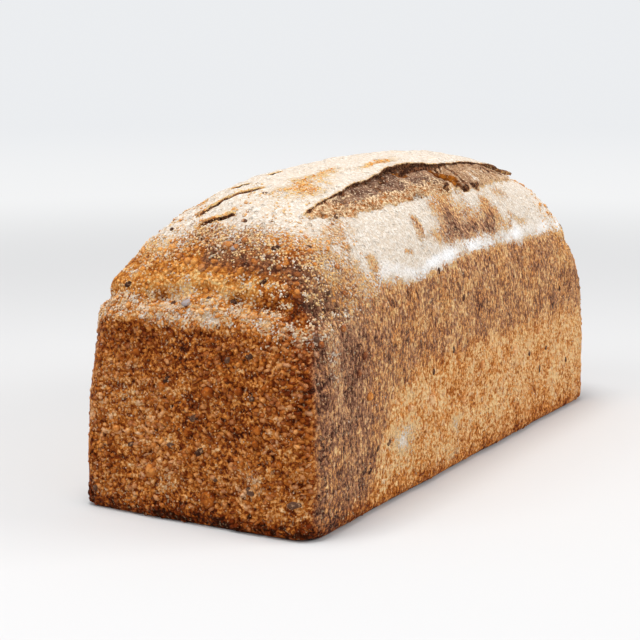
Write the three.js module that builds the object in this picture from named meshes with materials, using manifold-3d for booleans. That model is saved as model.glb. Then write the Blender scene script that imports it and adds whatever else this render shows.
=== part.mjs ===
// A seeded sourdough loaf baked in a long open tin, uncut and resting on its flat underside.
// The long side walls and the end walls took the tin's shape, and the crown rose above its rim
// and tore open along one long slash, whose upper lip lifted into an ear.
//
// Millimetres, +Z up. The origin is on the table under the middle of the loaf, +X is its length,
// and the torn slash runs along the -Y side of the crown.

import * as THREE from "three";
import { mergeVertices } from "three/addons/utils/BufferGeometryUtils.js";
import Module from "manifold-3d";

// ---- driving dimensions -------------------------------------------------------------------

// Walls: wider and longer at the foot than at the tin's rim, with a slight belly between.
const FOOT_LENGTH = 276;
const FOOT_WIDTH = 106;
const RIM_LENGTH = 264;
const RIM_WIDTH = 102;
const RIM_HEIGHT = 85;
const WALL_BELLY = 1;

// Crown: its ridge is highest in the middle and falls towards both ends.
const CROWN_HEIGHT = 129.5;
const CROWN_FALL = 24.5;
const CROWN_FALL_POWER = 3;
const CROWN_CAMBER = 3.5;

// Rounded edges: crown into side walls, crown into end walls, foot, and the upright corners,
// which are tight in the tin and wide in the crown.
const SIDE_SHOULDER_RADIUS = 54;
const END_SHOULDER_RADIUS = 43;
const SHOULDER_BLEND = 10.6;
const FOOT_RADIUS = 5;
const CORNER_RADIUS_IN_TIN = 13;
const CORNER_RADIUS_IN_CROWN = 33;
const CORNER_CHANGE_FROM = 48;
const CORNER_CHANGE_TO = 101;

// Crease across each end wall, where the dough folded over the tin's rim, and the lip under it.
const CREASE_HEIGHT = 83.5;
const CREASE_SAG = 5;
const CREASE_DEPTH = 2.4;
const CREASE_HALF_WIDTH = 3.4;
const LIP_BELOW_CREASE = 7;
const LIP_RISE = 0.9;

// Long slash on the -Y side of the crown, as [along, across] points of its lip and of the
// lower edge of the torn crumb, and the depth of the tear between them.
const EAR_LINE = [[-99, -24], [-75, -22.5], [-41, -21], [-8, -17], [24, -20], [67, -19.5], [90, -22]];
const TORN_LINE = [[-99, -28], [-84, -32], [-48, -36], [0, -38.5], [40, -38], [70, -35], [90, -30]];
const TORN_DEPTH = 3.6;
const TORN_ROUGHNESS = 0.22;

// The ear above the slash: how far its lip hangs over the tear and stands off the crust, where
// it grows out of the crown, and the hollow under the lip.
const EAR_REACH = 2.8;
const EAR_RISE = 3.2;
const EAR_ROOT = 13;
const HOLLOW_HALF_WIDTH = 4;
const HOLLOW_HALF_DEPTH = 3.2;
const HOLLOW_SHIFT = 1.2;

// Short splits near the -X end of the crown: [start, end, half width, depth].
const SHORT_SPLITS = [
  [[-109, 14.5], [-89, -3], 2.2, 2.6],
  [[-114, 9.5], [-108, -3], 1.3, 1.6],
  [[-89, 11.5], [-79, 9], 1.4, 1.8],
  [[-68, 8.5], [-55, 8], 1.2, 1.6],
];

// Seeds and blisters that stand out of the crust: [half length, half width, half height].
const SEED_SIZE = [2.3, 1.35, 1.1];
const SEED_COUNT = 46;
const BLISTER_SIZE = [2.8, 2.4, 1.4];
const BLISTER_COUNT = 14;
const SEED_LOWEST = 9;

// Mesh fineness.
const CELLS_ALONG = 42;
const CELLS_ACROSS = 15;
const CELLS_UP = 17;
const SWEEP_STEPS = 24;
const SWEEP_SIDES = 6;
const TEAR_STEPS = 30;
const TEAR_SIDES = 12;

const { clamp, lerp, smoothstep } = THREE.MathUtils;

// ---- the loaf's form ----------------------------------------------------------------------

// Where two surfaces meet in an edge of the given radius. Distances are negative inside.
function roundedMeet(a, b, radius) {
  const u = Math.max(a + radius, 0);
  const v = Math.max(b + radius, 0);
  return Math.hypot(u, v) + Math.min(Math.max(a + radius, b + radius), 0) - radius;
}

// The larger of two distances, with the change from one to the other spread over a blend.
function blendedMax(a, b, blend) {
  const share = clamp(0.5 + (0.5 * (a - b)) / blend, 0, 1);
  return lerp(b, a, share) + blend * share * (1 - share);
}

// A smooth curve y(x) through [x, y] points.
function curveThrough(points) {
  const curve = new THREE.SplineCurve(points.map(([x, y]) => new THREE.Vector2(x, y)));
  const samples = curve.getPoints(120);
  return (x) => {
    const next = samples.findIndex((sample) => sample.x > x);
    if (next === 0) return samples[0].y;
    if (next < 0) return samples[samples.length - 1].y;
    const [from, to] = [samples[next - 1], samples[next]];
    return lerp(from.y, to.y, (x - from.x) / (to.x - from.x));
  };
}

const earLine = curveThrough(EAR_LINE);
const tornLine = curveThrough(TORN_LINE);
const SLASH_START = EAR_LINE[0][0];
const SLASH_END = EAR_LINE[EAR_LINE.length - 1][0];

// Slow unevenness of a hand-shaped loaf, a fraction of a millimetre to about one.
function swell(x, y, z) {
  const alongWalls = 0.55 * Math.sin(0.041 * x + 0.8) * Math.cos(0.052 * z + 0.03 * y);
  const acrossCrown = 0.45 * Math.sin(0.083 * x - 0.061 * y + 1.9) * Math.sin(0.07 * z + 0.4);
  const small = 0.3 * Math.sin(0.19 * x + 0.13 * z) * Math.cos(0.17 * y - 0.11 * z + 0.7);
  return alongWalls + acrossCrown + small;
}

// Crease and lip across an end wall: the crease is highest in the middle of the wall.
function endCrease(x, y, z) {
  const onEnd = smoothstep(Math.abs(x), 100, 116);
  const across = y / (RIM_WIDTH / 2);
  const above = z - (CREASE_HEIGHT - CREASE_SAG * across ** 2);
  const fold = -CREASE_DEPTH * Math.exp(-((above / CREASE_HALF_WIDTH) ** 2));
  const lip = LIP_RISE * Math.exp(-(((above + LIP_BELOW_CREASE) / 5) ** 2));
  const depthShare = 1 - 0.6 * smoothstep(-y, 22, 44);
  return onEnd * (fold + lip) * depthShare;
}

// Signed distance from the crust, negative inside the loaf.
function crustDistance(x, y, z) {
  const rise = clamp(z / RIM_HEIGHT, 0, 1);
  const belly = WALL_BELLY * Math.sin(Math.PI * rise);
  const side = Math.abs(y) - lerp(FOOT_WIDTH, RIM_WIDTH, rise) / 2 - belly;
  const end = Math.abs(x) - lerp(FOOT_LENGTH, RIM_LENGTH, rise) / 2 - belly;
  const along = Math.abs(x) / (FOOT_LENGTH / 2);
  const across = y / (FOOT_WIDTH / 2);
  const crown = CROWN_HEIGHT - CROWN_FALL * along ** CROWN_FALL_POWER - CROWN_CAMBER * across ** 2;
  const crownSlope = (2 * CROWN_CAMBER * across) / (FOOT_WIDTH / 2);
  const top = (z - crown) / Math.hypot(1, crownSlope);
  const cornerShare = smoothstep(z, CORNER_CHANGE_FROM, CORNER_CHANGE_TO);
  const cornerRadius = lerp(CORNER_RADIUS_IN_TIN, CORNER_RADIUS_IN_CROWN, cornerShare);
  const shoulders = blendedMax(
    roundedMeet(side, top, SIDE_SHOULDER_RADIUS),
    roundedMeet(end, top, END_SHOULDER_RADIUS),
    SHOULDER_BLEND,
  );
  const walls = blendedMax(shoulders, roundedMeet(side, end, cornerRadius), 3);
  const relief = swell(x, y, z) + endCrease(x, y, z);
  return roundedMeet(walls - relief, -z, FOOT_RADIUS);
}

// The point where a ray from inside the loaf meets the crust.
function crustAlong(origin, direction) {
  let inside = 0;
  let outside = 200;
  for (let step = 0; step < 40; step += 1) {
    const middle = (inside + outside) / 2;
    const probe = origin.clone().addScaledVector(direction, middle);
    if (crustDistance(probe.x, probe.y, probe.z) < 0) inside = middle;
    else outside = middle;
  }
  return origin.clone().addScaledVector(direction, inside);
}

// The crust's point above [x, y], and the outward direction at any point of the crust.
function crownPoint(x, y) {
  return crustAlong(new THREE.Vector3(x, y, RIM_HEIGHT / 2), new THREE.Vector3(0, 0, 1));
}

function outward(point) {
  const reach = 1.5;
  const slope = (dx, dy, dz) =>
    crustDistance(point.x + dx, point.y + dy, point.z + dz) -
    crustDistance(point.x - dx, point.y - dy, point.z - dz);
  return new THREE.Vector3(slope(reach, 0, 0), slope(0, reach, 0), slope(0, 0, reach)).normalize();
}

// ---- solids -------------------------------------------------------------------------------

const wasm = await Module();
wasm.setup();

// A closed geometry as a solid that can be joined and cut.
function solidFrom(geometry) {
  geometry.deleteAttribute("normal");
  geometry.deleteAttribute("uv");
  const merged = mergeVertices(geometry, 1e-4);
  const mesh = new wasm.Mesh({
    numProp: 3,
    vertProperties: Float32Array.from(merged.attributes.position.array),
    triVerts: Uint32Array.from(merged.index.array),
  });
  return new wasm.Manifold(mesh);
}

function geometryFrom(solid) {
  const mesh = solid.getMesh();
  const geometry = new THREE.BufferGeometry();
  geometry.setAttribute("position", new THREE.BufferAttribute(mesh.vertProperties, 3));
  geometry.setIndex(new THREE.BufferAttribute(mesh.triVerts, 1));
  return geometry;
}

// The bread: a box of even cells, each corner pushed out along a ray from the loaf's spine
// until it meets the crust.
function bread() {
  const box = new THREE.BoxGeometry(
    FOOT_LENGTH, FOOT_WIDTH, CROWN_HEIGHT, CELLS_ALONG, CELLS_ACROSS, CELLS_UP,
  );
  box.translate(0, 0, CROWN_HEIGHT / 2);
  const corners = box.attributes.position;
  const spineHalf = (FOOT_LENGTH - FOOT_WIDTH) / 2;
  const corner = new THREE.Vector3();
  for (let index = 0; index < corners.count; index += 1) {
    corner.fromBufferAttribute(corners, index);
    const spine = new THREE.Vector3(
      clamp(corner.x * 0.9, -spineHalf, spineHalf), 0, CROWN_HEIGHT * 0.42,
    );
    const met = crustAlong(spine, corner.clone().sub(spine).normalize());
    if (met.z < 0.02) met.z = 0;
    corners.setXYZ(index, met.x, met.y, met.z);
  }
  return solidFrom(box);
}

// A tapered body swept along the crown on the line pointAt(t), t from 0 to 1. Its rings stand
// across the line, where ring(angle, t, out) gives [across, out] offsets at full size.
function sweptOnCrown(pointAt, ring, steps, sides) {
  const sweep = new THREE.SphereGeometry(1, sides, steps);
  const corners = sweep.attributes.position;
  const perRow = sides + 1;
  for (let index = 0; index < corners.count; index += 1) {
    const t = Math.floor(index / perRow) / steps;
    const angle = (2 * Math.PI * ((index % perRow) % sides)) / sides;
    const [x, y] = pointAt(t);
    const [aheadX, aheadY] = pointAt(Math.min(t + 0.02, 1));
    const [behindX, behindY] = pointAt(Math.max(t - 0.02, 0));
    const centre = crownPoint(x, y);
    const out = outward(centre);
    const forward = new THREE.Vector3(aheadX - behindX, aheadY - behindY, 0);
    const across = new THREE.Vector3().crossVectors(forward, out).normalize();
    const taper = Math.sqrt(Math.max(Math.sin(Math.PI * t), 0));
    const [acrossBy, outBy] = ring(angle, t, out);
    centre.addScaledVector(across, acrossBy * taper).addScaledVector(out, outBy * taper);
    corners.setXYZ(index, centre.x, centre.y, centre.z);
  }
  return solidFrom(sweep);
}

const slashX = (t) => lerp(SLASH_START, SLASH_END, t);
const onEarLine = (t) => [slashX(t), earLine(slashX(t))];
const onTear = (t) => [slashX(t), (earLine(slashX(t)) + tornLine(slashX(t))) / 2];

// The tear: a shallow lens of rough crumb between the ear's line and the torn line.
function tear() {
  const ring = (angle, t, out) => {
    const halfWidth = (earLine(slashX(t)) - tornLine(slashX(t))) / 2 / out.z;
    const rough = 1 + TORN_ROUGHNESS * Math.sin(7 * angle + 60 * t);
    return [halfWidth * Math.cos(angle), TORN_DEPTH * Math.sin(angle) * rough];
  };
  return sweptOnCrown(onTear, ring, TEAR_STEPS, TEAR_SIDES);
}

// The ear: a wedge that grows out of the crown above the slash and ends in a thin lifted lip.
function ear() {
  const ring = (angle) => {
    const towardsLip = (1 + Math.cos(angle)) / 2;
    const across = lerp(-EAR_ROOT, EAR_REACH, towardsLip);
    const middle = lerp(-2, EAR_RISE, towardsLip);
    return [across, middle + Math.sin(angle) * lerp(1.6, 1, towardsLip)];
  };
  return sweptOnCrown(onEarLine, ring, SWEEP_STEPS, SWEEP_SIDES);
}

// The hollow that runs under the ear's lip along most of the slash.
function hollow() {
  const ring = (angle) => [
    HOLLOW_SHIFT + HOLLOW_HALF_WIDTH * Math.cos(angle),
    HOLLOW_HALF_DEPTH * (Math.sin(angle) - 0.8),
  ];
  const alongMostOfIt = (t) => onEarLine(lerp(0.1, 0.95, t));
  return sweptOnCrown(alongMostOfIt, ring, SWEEP_STEPS, SWEEP_SIDES);
}

function shortSplit([start, end, halfWidth, depth]) {
  const pointAt = (t) => [lerp(start[0], end[0], t), lerp(start[1], end[1], t)];
  const ring = (angle) => [halfWidth * Math.cos(angle), depth * Math.sin(angle)];
  return sweptOnCrown(pointAt, ring, 8, SWEEP_SIDES);
}

// The same sequence of numbers from 0 to 1 on each run.
function seededRandom(seed) {
  let state = seed;
  return () => {
    state = (state * 1664525 + 1013904223) % 4294967296;
    return state / 4294967296;
  };
}

// A seed or a blister: a flat ellipsoid half sunk in the crust, turned at random in its plane.
function sunkInCrust(place, [halfLength, halfWidth, halfHeight], turn) {
  const pip = new THREE.SphereGeometry(1, 5, 4);
  const out = outward(place);
  const lying = new THREE.Quaternion().setFromUnitVectors(new THREE.Vector3(0, 0, 1), out);
  const turned = new THREE.Quaternion().setFromAxisAngle(out, turn);
  pip.rotateX(Math.PI / 2);
  pip.scale(halfLength, halfWidth, halfHeight);
  pip.applyQuaternion(turned.multiply(lying));
  pip.translate(place.x, place.y, place.z);
  return solidFrom(pip);
}

function scattered(count, size, seed) {
  const random = seededRandom(seed);
  const placed = [];
  const solids = [];
  while (placed.length < count) {
    const spine = new THREE.Vector3((random() - 0.5) * RIM_LENGTH, 0, lerp(25, 75, random()));
    const way = new THREE.Vector3((random() - 0.5) * 2.2, random() - 0.5, random() - 0.35);
    const place = crustAlong(spine, way.normalize());
    const turn = random() * Math.PI;
    const grown = lerp(0.75, 1.2, random());
    const inSlash = place.y < earLine(place.x) + 8 && place.y > tornLine(place.x) - 3 && place.z > RIM_HEIGHT;
    const crowded = placed.some((other) => other.distanceTo(place) < 9);
    if (place.z < SEED_LOWEST || inSlash || crowded) continue;
    placed.push(place);
    solids.push(sunkInCrust(place, size.map((half) => half * grown), turn));
  }
  return solids;
}

// ---- the loaf -----------------------------------------------------------------------------

function loafGeometry() {
  let loaf = bread().subtract(tear()).add(ear()).subtract(hollow());
  for (const split of SHORT_SPLITS) loaf = loaf.subtract(shortSplit(split));
  for (const seed of scattered(SEED_COUNT, SEED_SIZE, 11)) loaf = loaf.add(seed);
  for (const blister of scattered(BLISTER_COUNT, BLISTER_SIZE, 29)) loaf = loaf.add(blister);
  const geometry = geometryFrom(loaf);
  geometry.computeBoundingBox();
  const middle = geometry.boundingBox.getCenter(new THREE.Vector3());
  geometry.translate(-middle.x, -middle.y, -geometry.boundingBox.min.z);
  return geometry;
}

const crust = new THREE.MeshStandardMaterial({
  color: new THREE.Color(0.55, 0.31, 0.13),
  roughness: 0.85,
  metalness: 0,
  flatShading: true,
});

const loaf = new THREE.Mesh(loafGeometry(), crust);
loaf.name = "loaf";

const part = new THREE.Group();
part.add(loaf);

export default part;
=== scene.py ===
import math

import bmesh
import bpy
import numpy as np
from mathutils import Matrix, Vector


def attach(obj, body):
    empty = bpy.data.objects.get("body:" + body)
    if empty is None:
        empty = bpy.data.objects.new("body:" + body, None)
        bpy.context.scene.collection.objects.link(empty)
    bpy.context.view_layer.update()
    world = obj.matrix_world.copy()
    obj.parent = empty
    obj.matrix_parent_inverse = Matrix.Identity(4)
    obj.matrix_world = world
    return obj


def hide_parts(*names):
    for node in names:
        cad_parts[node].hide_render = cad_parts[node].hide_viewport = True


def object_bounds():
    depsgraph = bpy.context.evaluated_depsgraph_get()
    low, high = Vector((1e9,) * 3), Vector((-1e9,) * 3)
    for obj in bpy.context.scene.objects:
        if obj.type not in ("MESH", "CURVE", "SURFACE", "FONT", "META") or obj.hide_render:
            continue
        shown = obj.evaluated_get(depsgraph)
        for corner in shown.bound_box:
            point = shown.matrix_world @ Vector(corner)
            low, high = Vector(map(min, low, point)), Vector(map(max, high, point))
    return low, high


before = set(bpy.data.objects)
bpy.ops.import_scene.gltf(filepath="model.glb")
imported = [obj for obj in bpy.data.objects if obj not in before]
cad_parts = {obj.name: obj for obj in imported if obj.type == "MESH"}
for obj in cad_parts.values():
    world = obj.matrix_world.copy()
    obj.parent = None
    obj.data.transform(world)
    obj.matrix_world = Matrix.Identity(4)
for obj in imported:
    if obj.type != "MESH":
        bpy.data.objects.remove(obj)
cad_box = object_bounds()


# ---- The bread: crust, torn crumb and ear -------------------------------------------------------
# One baked piece of sourdough. The tin gave it flat walls and a flat underside; the crown rose
# free, split along the baker's slash, and the edge of the split lifted and burnt into an ear.
# Made as one closed skin: an even box of cells pushed out to the loaf's form, then worked on.
# Sizes are millimetres, here and for the other pieces, until a mesh is finished.

MILLIMETRE = 0.001

FOOT_LENGTH = 276.0
FOOT_WIDTH = 106.0
RIM_LENGTH = 264.0
RIM_WIDTH = 102.0
RIM_HEIGHT = 85.0
WALL_BELLY = 1.0
CROWN_HEIGHT = 129.5
CROWN_FALL = 24.5
CROWN_FALL_POWER = 3
CROWN_CAMBER = 3.5
SIDE_SHOULDER_RADIUS = 54.0
END_SHOULDER_RADIUS = 43.0
SHOULDER_BLEND = 10.6
FOOT_RADIUS = 4.0
CORNER_RADIUS_IN_TIN = 13.0
CORNER_RADIUS_IN_CROWN = 33.0
CORNER_CHANGE = (48.0, 101.0)
CREASE_HEIGHT = 83.5
CREASE_SAG = 5.0
FOLD_DEPTH = 2.4
FOLD_REACH = 3.4
FOLD_LIP = 0.9
FOLD_LIP_DROP = 7.0
FOLD_LIP_REACH = 5.0
CORNER_BLEND = 3.0

# The spine that the skin is pushed out from: its share of the length and of the height.
SPINE_LENGTH = 0.9
SPINE_RISE = 0.42
FARTHEST_CRUST = 200.0
HALVINGS = 22
SLOPE_STEP = 0.8


def ease(value, low, high):
    """0 below low, 1 above high, with a smooth change between them."""
    share = np.clip((value - low) / (high - low), 0.0, 1.0)
    return share * share * (3.0 - 2.0 * share)


def blend(low, high, share):
    return low + (high - low) * share


def rounded_meet(a, b, radius):
    """Two surfaces that meet in a rounded edge; distances are negative inside."""
    u = np.maximum(a + radius, 0.0)
    v = np.maximum(b + radius, 0.0)
    return np.hypot(u, v) + np.minimum(np.maximum(a + radius, b + radius), 0.0) - radius


def blended_max(a, b, reach):
    """The larger of two distances, with a smooth change where they are close."""
    share = np.clip(0.5 + 0.5 * (a - b) / reach, 0.0, 1.0)
    return blend(b, a, share) + reach * share * (1.0 - share)


def swell(x, y, z):
    """The slow unevenness of a hand-shaped loaf."""
    along_walls = 0.55 * np.sin(0.041 * x + 0.8) * np.cos(0.052 * z + 0.03 * y)
    across_crown = 0.45 * np.sin(0.083 * x - 0.061 * y + 1.9) * np.sin(0.07 * z + 0.4)
    small = 0.3 * np.sin(0.19 * x + 0.13 * z) * np.cos(0.17 * y - 0.11 * z + 0.7)
    return along_walls + across_crown + small


def above_crease(y, z):
    """Height above the crease that runs across each end, which sags towards the corners."""
    return z - (CREASE_HEIGHT - CREASE_SAG * (y / (RIM_WIDTH / 2)) ** 2)


def end_crease(x, y, z):
    """The fold where the dough met the tin's rim, and the lip of crust under it."""
    on_end = ease(np.abs(x), 100.0, 116.0)
    above = above_crease(y, z)
    fold = -FOLD_DEPTH * np.exp(-((above / FOLD_REACH) ** 2))
    lip = FOLD_LIP * np.exp(-(((above + FOLD_LIP_DROP) / FOLD_LIP_REACH) ** 2))
    return on_end * (fold + lip) * (1.0 - 0.6 * ease(-y, 22.0, 44.0))


def crust_distance(points):
    """How far each point is outside the crust, before the baker's slash."""
    x, y, z = points.T
    rise = np.clip(z / RIM_HEIGHT, 0.0, 1.0)
    belly = WALL_BELLY * np.sin(np.pi * rise)
    side = np.abs(y) - blend(FOOT_WIDTH, RIM_WIDTH, rise) / 2 - belly
    end = np.abs(x) - blend(FOOT_LENGTH, RIM_LENGTH, rise) / 2 - belly
    along = np.abs(x) / (FOOT_LENGTH / 2)
    across = y / (FOOT_WIDTH / 2)
    crown = CROWN_HEIGHT - CROWN_FALL * along ** CROWN_FALL_POWER - CROWN_CAMBER * across**2
    crown_slope = 2 * CROWN_CAMBER * across / (FOOT_WIDTH / 2)
    top = (z - crown) / np.hypot(1.0, crown_slope)
    corner = blend(CORNER_RADIUS_IN_TIN, CORNER_RADIUS_IN_CROWN, ease(z, *CORNER_CHANGE))
    shoulders = blended_max(
        rounded_meet(side, top, SIDE_SHOULDER_RADIUS),
        rounded_meet(end, top, END_SHOULDER_RADIUS),
        SHOULDER_BLEND,
    )
    walls = blended_max(shoulders, rounded_meet(side, end, corner), CORNER_BLEND)
    relief = swell(x, y, z) + end_crease(x, y, z)
    return rounded_meet(walls - relief, -z, FOOT_RADIUS)


def on_crust(starts, ways):
    """Where rays from inside the loaf meet its crust."""
    inside = np.zeros(len(starts))
    outside = np.full(len(starts), FARTHEST_CRUST)
    for _ in range(HALVINGS):
        middle = (inside + outside) / 2
        within = crust_distance(starts + ways * middle[:, None]) < 0
        inside = np.where(within, middle, inside)
        outside = np.where(within, outside, middle)
    return starts + ways * inside[:, None]


def spine_under(points):
    """The point of the loaf's inner spine that each point is pushed out from."""
    reach = (FOOT_LENGTH - FOOT_WIDTH) / 2
    spine = np.zeros_like(points)
    spine[:, 0] = np.clip(points[:, 0] * SPINE_LENGTH, -reach, reach)
    spine[:, 2] = CROWN_HEIGHT * SPINE_RISE
    return spine


def pushed_out(points):
    """Each point moved straight away from the spine onto the crust."""
    spine = spine_under(points)
    ways = points - spine
    return on_crust(spine, ways / np.linalg.norm(ways, axis=1, keepdims=True))


def outward(points):
    """Unit directions straight out of the crust."""
    slopes = np.zeros_like(points)
    for axis in range(3):
        step = np.zeros(3)
        step[axis] = SLOPE_STEP
        slopes[:, axis] = crust_distance(points + step) - crust_distance(points - step)
    return slopes / np.linalg.norm(slopes, axis=1, keepdims=True)


def lumps(points, size, seed):
    """Smooth random relief from -1 to 1 with bumps of the given size."""
    scaled = points / size + seed * 17.31
    cell = np.floor(scaled).astype(np.int64)
    part = scaled - cell
    part = part * part * (3.0 - 2.0 * part)
    total = np.zeros(len(points))
    for dx in (0, 1):
        for dy in (0, 1):
            for dz in (0, 1):
                key = (cell[:, 0] + dx) * 73856093
                key ^= (cell[:, 1] + dy) * 19349663
                key ^= (cell[:, 2] + dz) * 83492791
                key = (key ^ (key >> 13)) * 1274126177 & 0xFFFFFFFF
                corner = ((key ^ (key >> 15)) & 0xFFFF) / 32767.5 - 1.0
                share = np.where(dx, part[:, 0], 1 - part[:, 0])
                share = share * np.where(dy, part[:, 1], 1 - part[:, 1])
                share = share * np.where(dz, part[:, 2], 1 - part[:, 2])
                total += corner * share
    return total


def rough(points, size, seed):
    """Lumps with two finer sets of lumps on them."""
    finer = 0.5 * lumps(points, size / 2.1, seed + 1) + 0.25 * lumps(points, size / 4.3, seed + 2)
    return lumps(points, size, seed) + finer


def blob(points, centre, reach):
    """1 at a centre, fading to 0 past the reach along each axis."""
    away = (points - np.array(centre)) / np.array(reach)
    return np.exp(-(away**2).sum(axis=1))


# The long slash, as places along the loaf with how far across the lip and the torn edge lie.
SLASH_ALONG = [-99, -84, -75, -48, -41, -8, 0, 24, 40, 67, 70, 90]
LIP_ACROSS = [-24.6, -24.0, -23.3, -22.2, -22.0, -18.2, -18.9, -21.4, -21.9, -21.0, -21.2, -22.8]
TORN_ACROSS = [-28.0, -32.0, -33.8, -36.0, -36.6, -38.3, -38.5, -38.5, -38.0, -35.4, -35.0, -30.0]

# Across the lip, from the crown behind it to the trough in front: distance from the lip line,
# height off the crust, and how far the crust is pulled out over the trough or back under it.
LIP_PROFILE = [-14.0, -9.0, -4.0, -1.2, 0.2, 0.8, 1.5, 3.0]
LIP_HEIGHT = [0.0, 0.3, 0.9, 1.3, 1.3, 0.5, -0.7, -0.8]
LIP_REACH = [0.0, 0.0, 0.3, 0.9, 1.3, 0.8, -0.3, 0.0]
TEAR_PROFILE = [0.12, 0.32, 0.6, 0.88, 1.06]
TEAR_HEIGHT = [-0.9, -0.4, 0.4, 0.6, 0.0]
BEHIND_LIP = LIP_PROFILE[0]
TEAR_END = TEAR_PROFILE[-1]
# How far the lip stands clear along the slash.
CLEAR_ALONG = [-99, -80, -50, -20, 2, 26, 60, 90]
CLEAR_SHARE = [0.5, 0.62, 0.85, 1.15, 1.0, 0.55, 0.5, 0.6]

# Hollows, pits and cracks in the torn crumb: start, end, half width, depth, and how orange
# the fresh crumb inside is. Where a hollow is not orange it is painted dark, as shade.
TEAR_HOLLOWS = [
    ((-11, -21.2), (6, -22.2), 1.9, 1.9, 0),
    ((0, -21.9), (21, -23), 1.3, 1.4, 0),
    ((-20, -22.6), (-8, -24.8), 2.1, 1.3, 1),
    ((9.5, -24.2), (26, -32.8), 3.3, 1.5, 1),
    ((11, -25.8), (20.5, -31.4), 1.4, 1.5, 0.1),
    ((-69, -23.9), (-63.5, -24), 1.3, 1.8, 0.2),
    ((-57, -23.3), (-51, -23.2), 1.3, 1.8, 0.15),
    ((-48, -23.2), (-42.5, -23), 1.2, 1.7, 0.1),
    ((-33, -23), (-27.5, -23), 1.3, 1.8, 0.15),
    ((-26, -21.2), (-20, -21), 1.3, 1.8, 0.1),
    ((-37.5, -24.9), (-32.5, -25.2), 1, 1.4, 0.2),
    ((-26, -27.6), (-22, -28.2), 1.2, 1.6, 0.1),
    ((-46, -25), (-41, -28.2), 0.6, 1.2, 0),
    ((-41.2, -27.2), (-43.6, -33), 0.6, 1.2, 0),
    ((-16.5, -30.2), (-13.5, -33.4), 0.6, 1.2, 0),
    ((7.4, -31.8), (8.8, -34.8), 0.7, 1.2, 0.7),
    ((32.5, -33), (38.5, -36.4), 0.9, 1.2, 0.1),
    ((47.5, -30.6), (50, -32.4), 0.8, 1.1, 0.1),
    ((14, -35.4), (19, -36.6), 1, 1.3, 0.1),
    ((4, -35.1), (10, -37.5), 1, 1.4, 0.05),
    ((24, -34.6), (28, -36.6), 1, 1.3, 0.2),
    ((70, -23.4), (75.5, -27.4), 0.7, 1, 0.9),
    ((-80, -27.3), (-76.5, -27.9), 0.9, 1.2, 0.7),
    ((-90.4, -29), (-87, -29.5), 1, 1.3, 0.4),
]

# Short splits near the end of the crown: start, end, half width and depth.
SHORT_SPLITS = [
    ((-108.5, 15.4), (-98, 6.6), 0.7, 1.5),
    ((-100, 7.4), (-87, -3.2), 0.65, 1.4),
    ((-114, 10.4), (-107.6, -3), 0.65, 1.2),
    ((-89.5, 11.5), (-79, 8.4), 0.6, 1),
    ((-67, 8.3), (-54, 8.6), 0.6, 1),
]
# How far from a short split its own form reaches.
SPLIT_REACH = 2.6

# Small cavities in the crease of the shown end: centre and reach. The crust in them is
# also painted darker, as shade.
HOLE_DEPTH = 1.7
CREASE_HOLES = [
    ((-129, 18, 82.6), (4, 3.4, 1.5)),
    ((-128.6, -15.3, 83.6), (4, 3.2, 1.5)),
    ((-127.8, -1.8, 86.2), (4, 2.8, 1.3)),
    ((-129.4, 9, 80.6), (4, 3.6, 1.4)),
    ((-129.2, -25, 81.4), (4, 3, 1.2)),
]


def slash_place(points, normals):
    """How open the slash is beside each point, the distance past its lip, and its width."""
    x, y = points[:, 0], points[:, 1]
    share = np.clip((x - SLASH_ALONG[0]) / (SLASH_ALONG[-1] - SLASH_ALONG[0]), 0.0, 1.0)
    opening = np.sqrt(np.sin(np.pi * share)) * (points[:, 2] > RIM_HEIGHT)
    slope = np.clip(normals[:, 2], 0.5, 1.0)
    wander = 0.7 * lumps(points, 7.0, 3) + 0.35 * lumps(points, 2.6, 4)
    past_lip = (np.interp(x, SLASH_ALONG, LIP_ACROSS) - y) / slope + wander
    width = np.interp(x, SLASH_ALONG, np.subtract(LIP_ACROSS, TORN_ACROSS)) / 0.82
    return opening, past_lip, width + 1.4 * lumps(points, 5.0, 5)


def split_place(points, split):
    """Openness of a short split beside each point and the signed distance across it."""
    start = np.array(split[0])
    way = np.array(split[1]) - start
    length = np.linalg.norm(way)
    way = way / length
    offset = points[:, :2] - start
    share = offset @ way / length
    across = offset[:, 1] * way[0] - offset[:, 0] * way[1]
    across = across + 0.5 * lumps(points, 4.0, 6) + 0.35 * lumps(points, 1.9, 7)
    openness = np.where((share > 0) & (share < 1), np.sin(np.pi * np.clip(share, 0, 1)), 0.0)
    return np.sqrt(np.clip(openness, 0, 1)) * (points[:, 2] > RIM_HEIGHT), across


def cracks(points):
    """1 along thin wandering lines in the torn crumb."""
    return np.exp(-((lumps(points, 6.5, 44) / 0.09) ** 2)) * ease(lumps(points, 9.0, 45), 0.0, 0.3)


def torn_ridges(points):
    """Fine ridges that run down the tear towards its hidden end."""
    ridges = lumps(points * np.array([1.0, 0.26, 0.26]), 2.1, 40)
    return ridges * ease(points[:, 0], 14.0, 34.0)


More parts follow.
